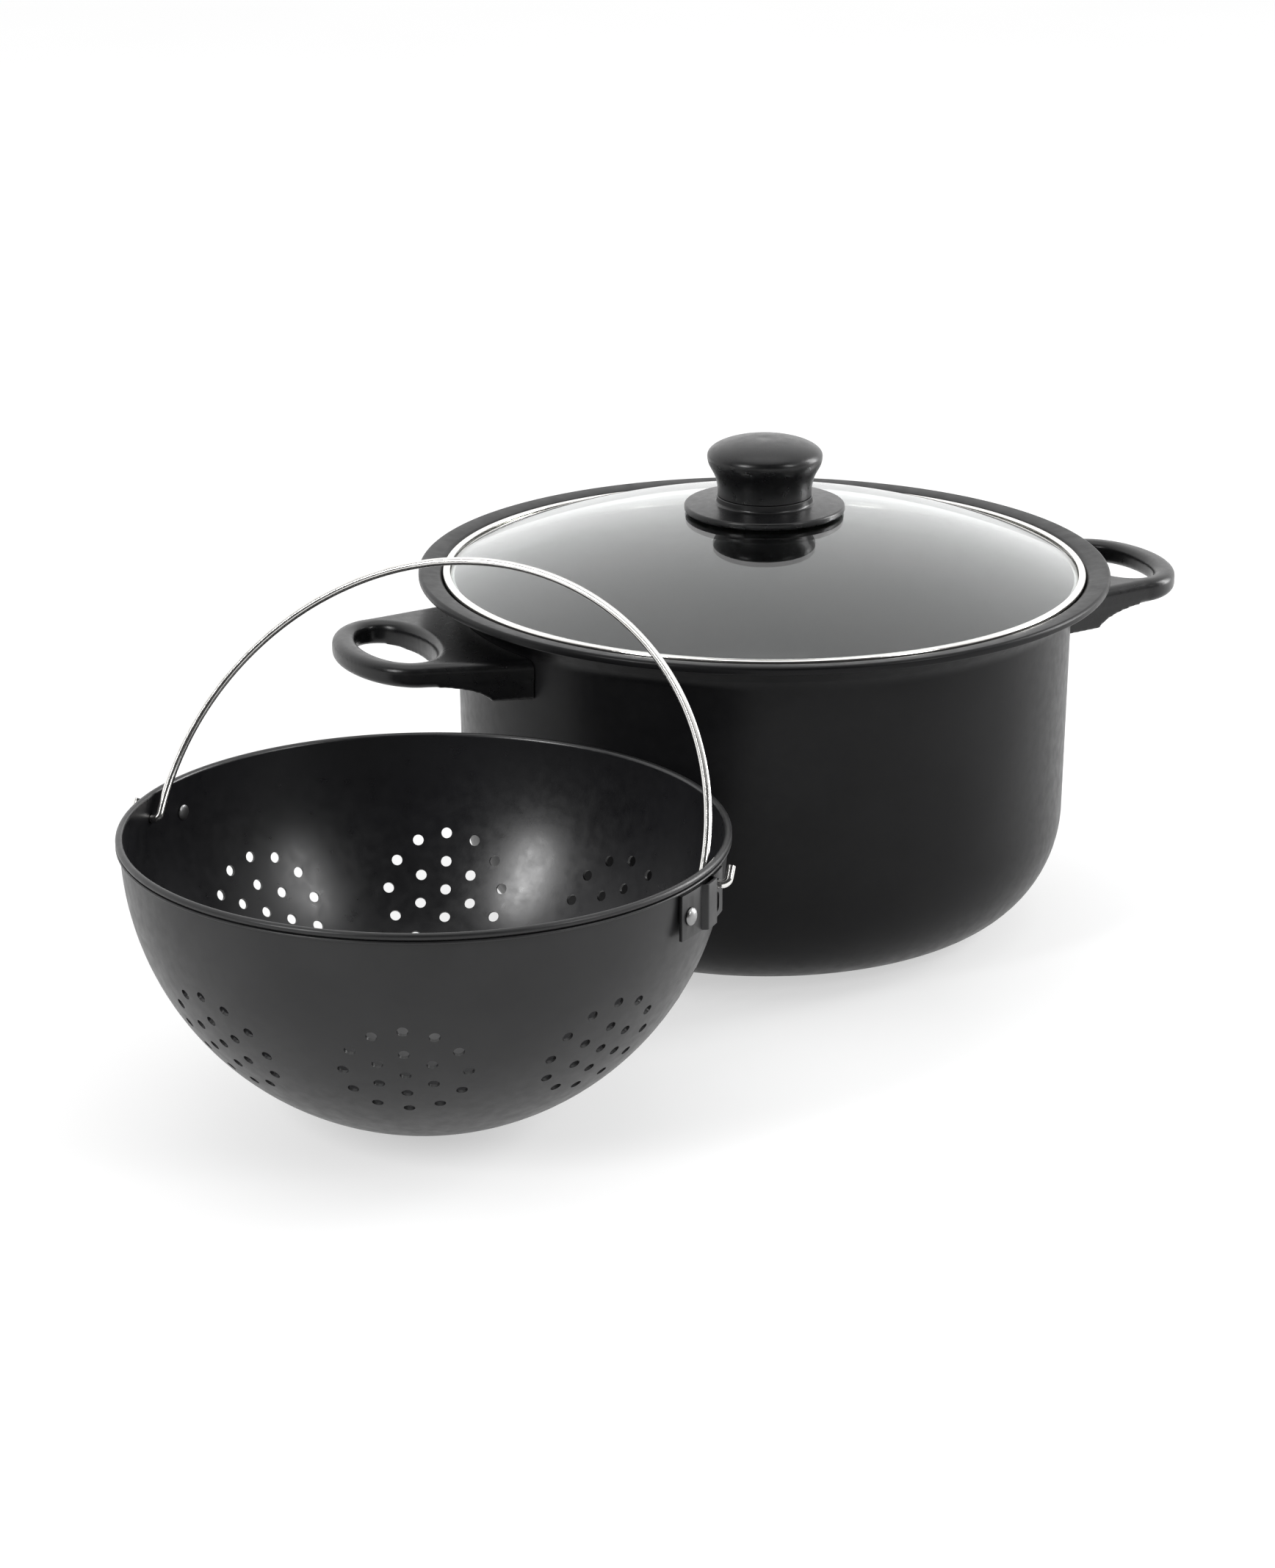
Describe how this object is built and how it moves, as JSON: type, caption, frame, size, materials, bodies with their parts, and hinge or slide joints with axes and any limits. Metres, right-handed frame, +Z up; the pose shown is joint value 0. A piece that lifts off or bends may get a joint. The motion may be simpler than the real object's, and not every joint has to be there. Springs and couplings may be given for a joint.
{
  "type": "stock pot with strainer",
  "caption": "Coated steel cooking pot with side handles and a domed glass lid, with a bowl-shaped strainer on a swinging wire bail beside it.",
  "frame": {"origin": "centre of the pot's base, on the surface that it stands on", "axes": "+Z up, +X along the line of the two side handles towards the right one"},
  "size_m": [0.4912, 0.4037, 0.1968],
  "materials": {
    "coated_steel": "satin black non-stick coating on steel sheet",
    "bakelite": "satin black moulded phenolic",
    "polished_steel": "polished stainless steel",
    "plated_steel": "zinc plated steel",
    "lid_glass": "clear tempered glass",
    "silicone": "matt translucent white silicone",
    "brass": "machined brass"
  },
  "bodies": {
    "pot": {"pot_body": "coated_steel", "right_handle": "bakelite", "right_handle_bracket": "plated_steel", "right_handle_washer": "plated_steel", "right_handle_screw": "plated_steel", "left_handle": "bakelite", "left_handle_bracket": "plated_steel", "left_handle_washer": "plated_steel", "left_handle_screw": "plated_steel"},
    "lid": {"lid_glass": "lid_glass", "lid_rim_band": "polished_steel", "knob_grip": "bakelite", "knob_base_disc": "bakelite", "knob_insert": "brass", "knob_screw": "plated_steel", "knob_gasket_upper": "silicone", "knob_gasket_lower": "silicone", "knob_washer": "plated_steel"},
    "strainer": {"strainer_bowl": "coated_steel", "right_ear": "coated_steel", "right_ear_rivet": "polished_steel", "left_ear": "coated_steel", "left_ear_rivet": "polished_steel"},
    "bail": {"bail_wire": "polished_steel"}
  },
  "joints": [
    {"name": "lid_lift", "type": "slide", "parent": "pot", "child": "lid", "axis": [0, 0, 1], "range_m": [0, 0.15]},
    {"name": "strainer_lift", "type": "slide", "parent": "pot", "child": "strainer", "axis": [0, 0, 1], "range_m": [0, 0.2]},
    {"name": "bail_swing", "type": "hinge", "parent": "strainer", "child": "bail", "pos_m": [-0.20005, -0.15406, 0.0992], "axis": [0.7593, -0.6508, 0], "range_deg": [-38, 111]}
  ]
}
